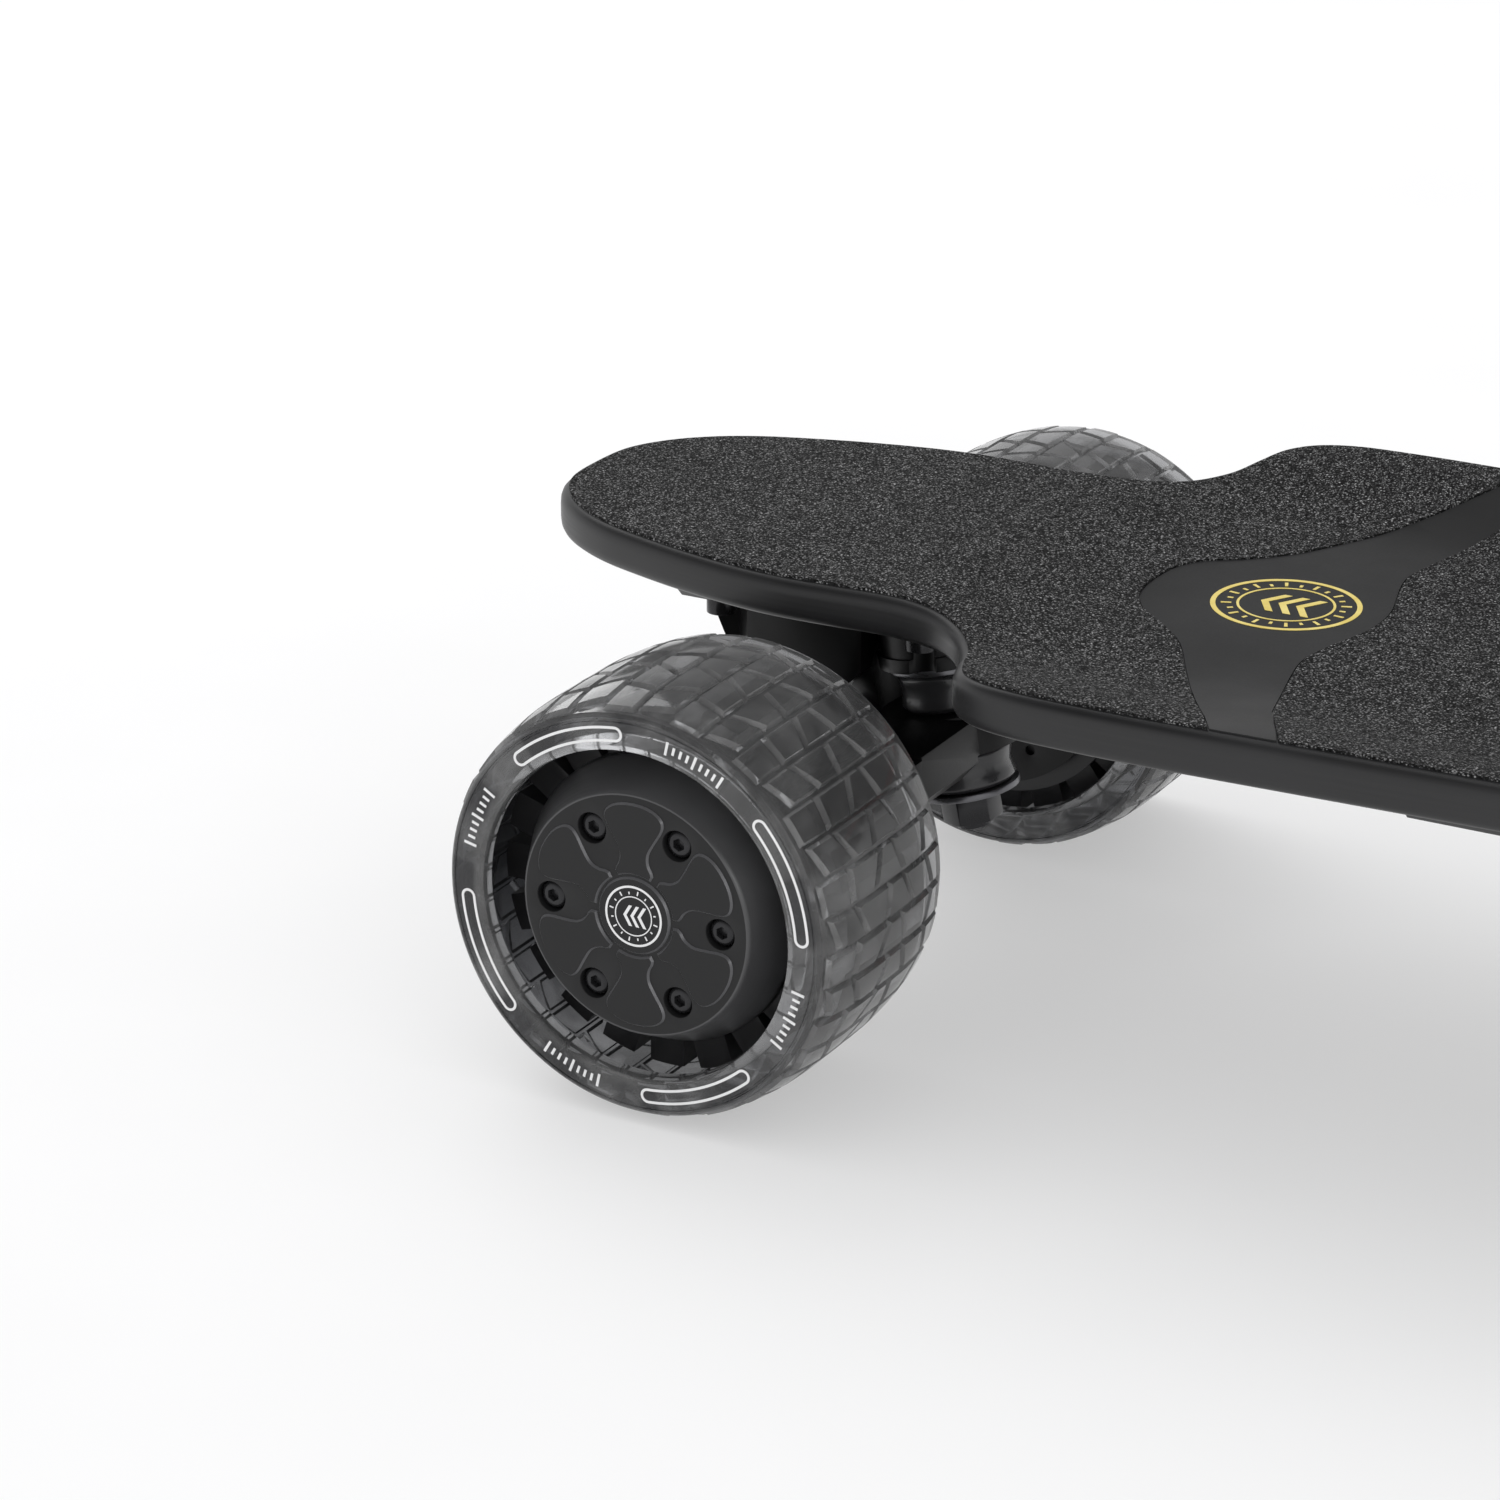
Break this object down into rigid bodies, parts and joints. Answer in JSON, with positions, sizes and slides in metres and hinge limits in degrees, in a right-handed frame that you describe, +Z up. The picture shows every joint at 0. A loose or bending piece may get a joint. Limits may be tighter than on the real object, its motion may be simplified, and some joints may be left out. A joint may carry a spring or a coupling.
{
  "type": "electric skateboard",
  "caption": "Electric longboard with hub motors inside the rear wheels, leaning trucks, smoky treaded urethane wheels that pull off the motors, a gritty deck and a battery cover below.",
  "frame": {"origin": "on the ground, midway between the axles, on the centreline", "axes": "+Z up, +Y towards the tail and the motor truck, +X to the rider's left when facing the nose"},
  "size_m": [0.282, 0.974, 0.1308],
  "materials": {
    "deck_board": "satin black lacquer over pressed plies",
    "grip": "coarse mineral grit in black binder",
    "smooth_vinyl": "matt charcoal with a gold ring emblem",
    "cover_plastic": "fine moulded texture",
    "steel": "zinc plated",
    "cell_wrap": "shrink wrap",
    "circuit_board": "solder mask",
    "controller_case": "bead blasted",
    "wire_sleeve": "silicone sleeve",
    "port_plastic": "moulded",
    "riser_rubber": "matt",
    "truck_paint": "satin black powder coat",
    "bushing_urethane": "satin urethane",
    "button_metal": "turned",
    "cap_rubber": "matt",
    "stator_steel": "laminated",
    "copper_wire": "enamelled copper",
    "can_anodised": "gloss black anodised",
    "magnet": "nickel plated",
    "end_plate_paint": "matt dark grey",
    "dark_screws": "black oxide",
    "bearing_steel": "polished",
    "smoky_urethane": "translucent smoky urethane",
    "core_plastic": "glass filled nylon",
    "cap_satin": "satin black"
  },
  "bodies": {
    "board": {"deck": "deck_board", "grip_tape": "grip", "deck_graphic": "smooth_vinyl", "battery_cover": "cover_plastic", "cover_screws": "steel", "battery_cells": "cell_wrap", "bms_board": "circuit_board", "motor_controller": "controller_case", "wiring_harness": "wire_sleeve", "charge_port": "port_plastic", "riser_pads": "riser_rubber", "truck_bolts": "steel", "tee_nuts": "steel", "rear_baseplate": "truck_paint", "front_baseplate": "truck_paint", "kingpins": "dark_screws", "kingpin_nuts": "dark_screws", "bushing_washers": "steel", "bushings": "bushing_urethane", "pivot_cups": "riser_rubber"},
    "power_button": {"power_button": "button_metal"},
    "charge_port_cap": {"charge_port_cap": "cap_rubber"},
    "rear_truck": {"rear_hanger": "truck_paint", "motor_axles": "steel", "axle_clamp_screws": "dark_screws", "motor_stators": "stator_steel", "motor_windings": "copper_wire"},
    "front_truck": {"front_hanger": "truck_paint", "front_axle": "steel", "front_axle_nuts": "steel"},
    "rear_motor_left": {"motor_can_left": "can_anodised", "motor_magnets_left": "magnet", "motor_end_plate_left": "end_plate_paint", "motor_flange_left": "can_anodised", "end_plate_screws_left": "dark_screws", "motor_bearings_left": "bearing_steel"},
    "rear_wheel_left": {"tyre_rear_left": "smoky_urethane", "wheel_core_rear_left": "core_plastic", "hub_cap_rear_left": "cap_satin", "hub_cap_screws_rear_left": "dark_screws"},
    "front_wheel_left": {"tyre_front_left": "smoky_urethane", "wheel_core_front_left": "core_plastic", "hub_cap_front_left": "cap_satin", "hub_cap_screws_front_left": "dark_screws", "wheel_bearings_front_left": "bearing_steel"},
    "rear_motor_right": {"motor_can_right": "can_anodised", "motor_magnets_right": "magnet", "motor_end_plate_right": "end_plate_paint", "motor_flange_right": "can_anodised", "end_plate_screws_right": "dark_screws", "motor_bearings_right": "bearing_steel"},
    "rear_wheel_right": {"tyre_rear_right": "smoky_urethane", "wheel_core_rear_right": "core_plastic", "hub_cap_rear_right": "cap_satin", "hub_cap_screws_rear_right": "dark_screws"},
    "front_wheel_right": {"tyre_front_right": "smoky_urethane", "wheel_core_front_right": "core_plastic", "hub_cap_front_right": "cap_satin", "hub_cap_screws_front_right": "dark_screws", "wheel_bearings_front_right": "bearing_steel"}
  },
  "joints": [
    {"name": "truck_rear_steer", "type": "hinge", "parent": "board", "child": "rear_truck", "pos_m": [0, 0.366, 0.072], "axis": [0, 0.9063, 0.4226], "range_deg": [-8, 8], "stiffness_Nm_per_rad": 60, "deforming": ["bushings"]},
    {"name": "truck_front_steer", "type": "hinge", "parent": "board", "child": "front_truck", "pos_m": [0, -0.366, 0.072], "axis": [0, -0.9063, 0.4226], "range_deg": [-8, 8], "stiffness_Nm_per_rad": 60, "deforming": ["bushings"]},
    {"name": "motor_right_spin", "type": "hinge", "parent": "rear_truck", "child": "rear_motor_right", "pos_m": [-0.1, 0.39, 0.06], "axis": [1, 0, 0], "continuous": true},
    {"name": "rear_wheel_right_pull_off", "type": "slide", "parent": "rear_motor_right", "child": "rear_wheel_right", "axis": [-1, 0, 0], "range_m": [0, 0.19]},
    {"name": "wheel_front_right_spin", "type": "hinge", "parent": "front_truck", "child": "front_wheel_right", "pos_m": [-0.1, -0.39, 0.06], "axis": [1, 0, 0], "continuous": true},
    {"name": "motor_left_spin", "type": "hinge", "parent": "rear_truck", "child": "rear_motor_left", "pos_m": [0.1, 0.39, 0.06], "axis": [1, 0, 0], "continuous": true},
    {"name": "rear_wheel_left_pull_off", "type": "slide", "parent": "rear_motor_left", "child": "rear_wheel_left", "axis": [1, 0, 0], "range_m": [0, 0.19]},
    {"name": "wheel_front_left_spin", "type": "hinge", "parent": "front_truck", "child": "front_wheel_left", "pos_m": [0.1, -0.39, 0.06], "axis": [1, 0, 0], "continuous": true},
    {"name": "power_button_press", "type": "slide", "parent": "board", "child": "power_button", "axis": [-1, 0, 0], "range_m": [0, 0.0015], "stiffness_N_per_m": 800},
    {"name": "port_cap_swing", "type": "hinge", "parent": "board", "child": "charge_port_cap", "pos_m": [0.0717, 0.0481, 0.1082], "axis": [0, 0, 1], "range_deg": [0, 110]}
  ]
}
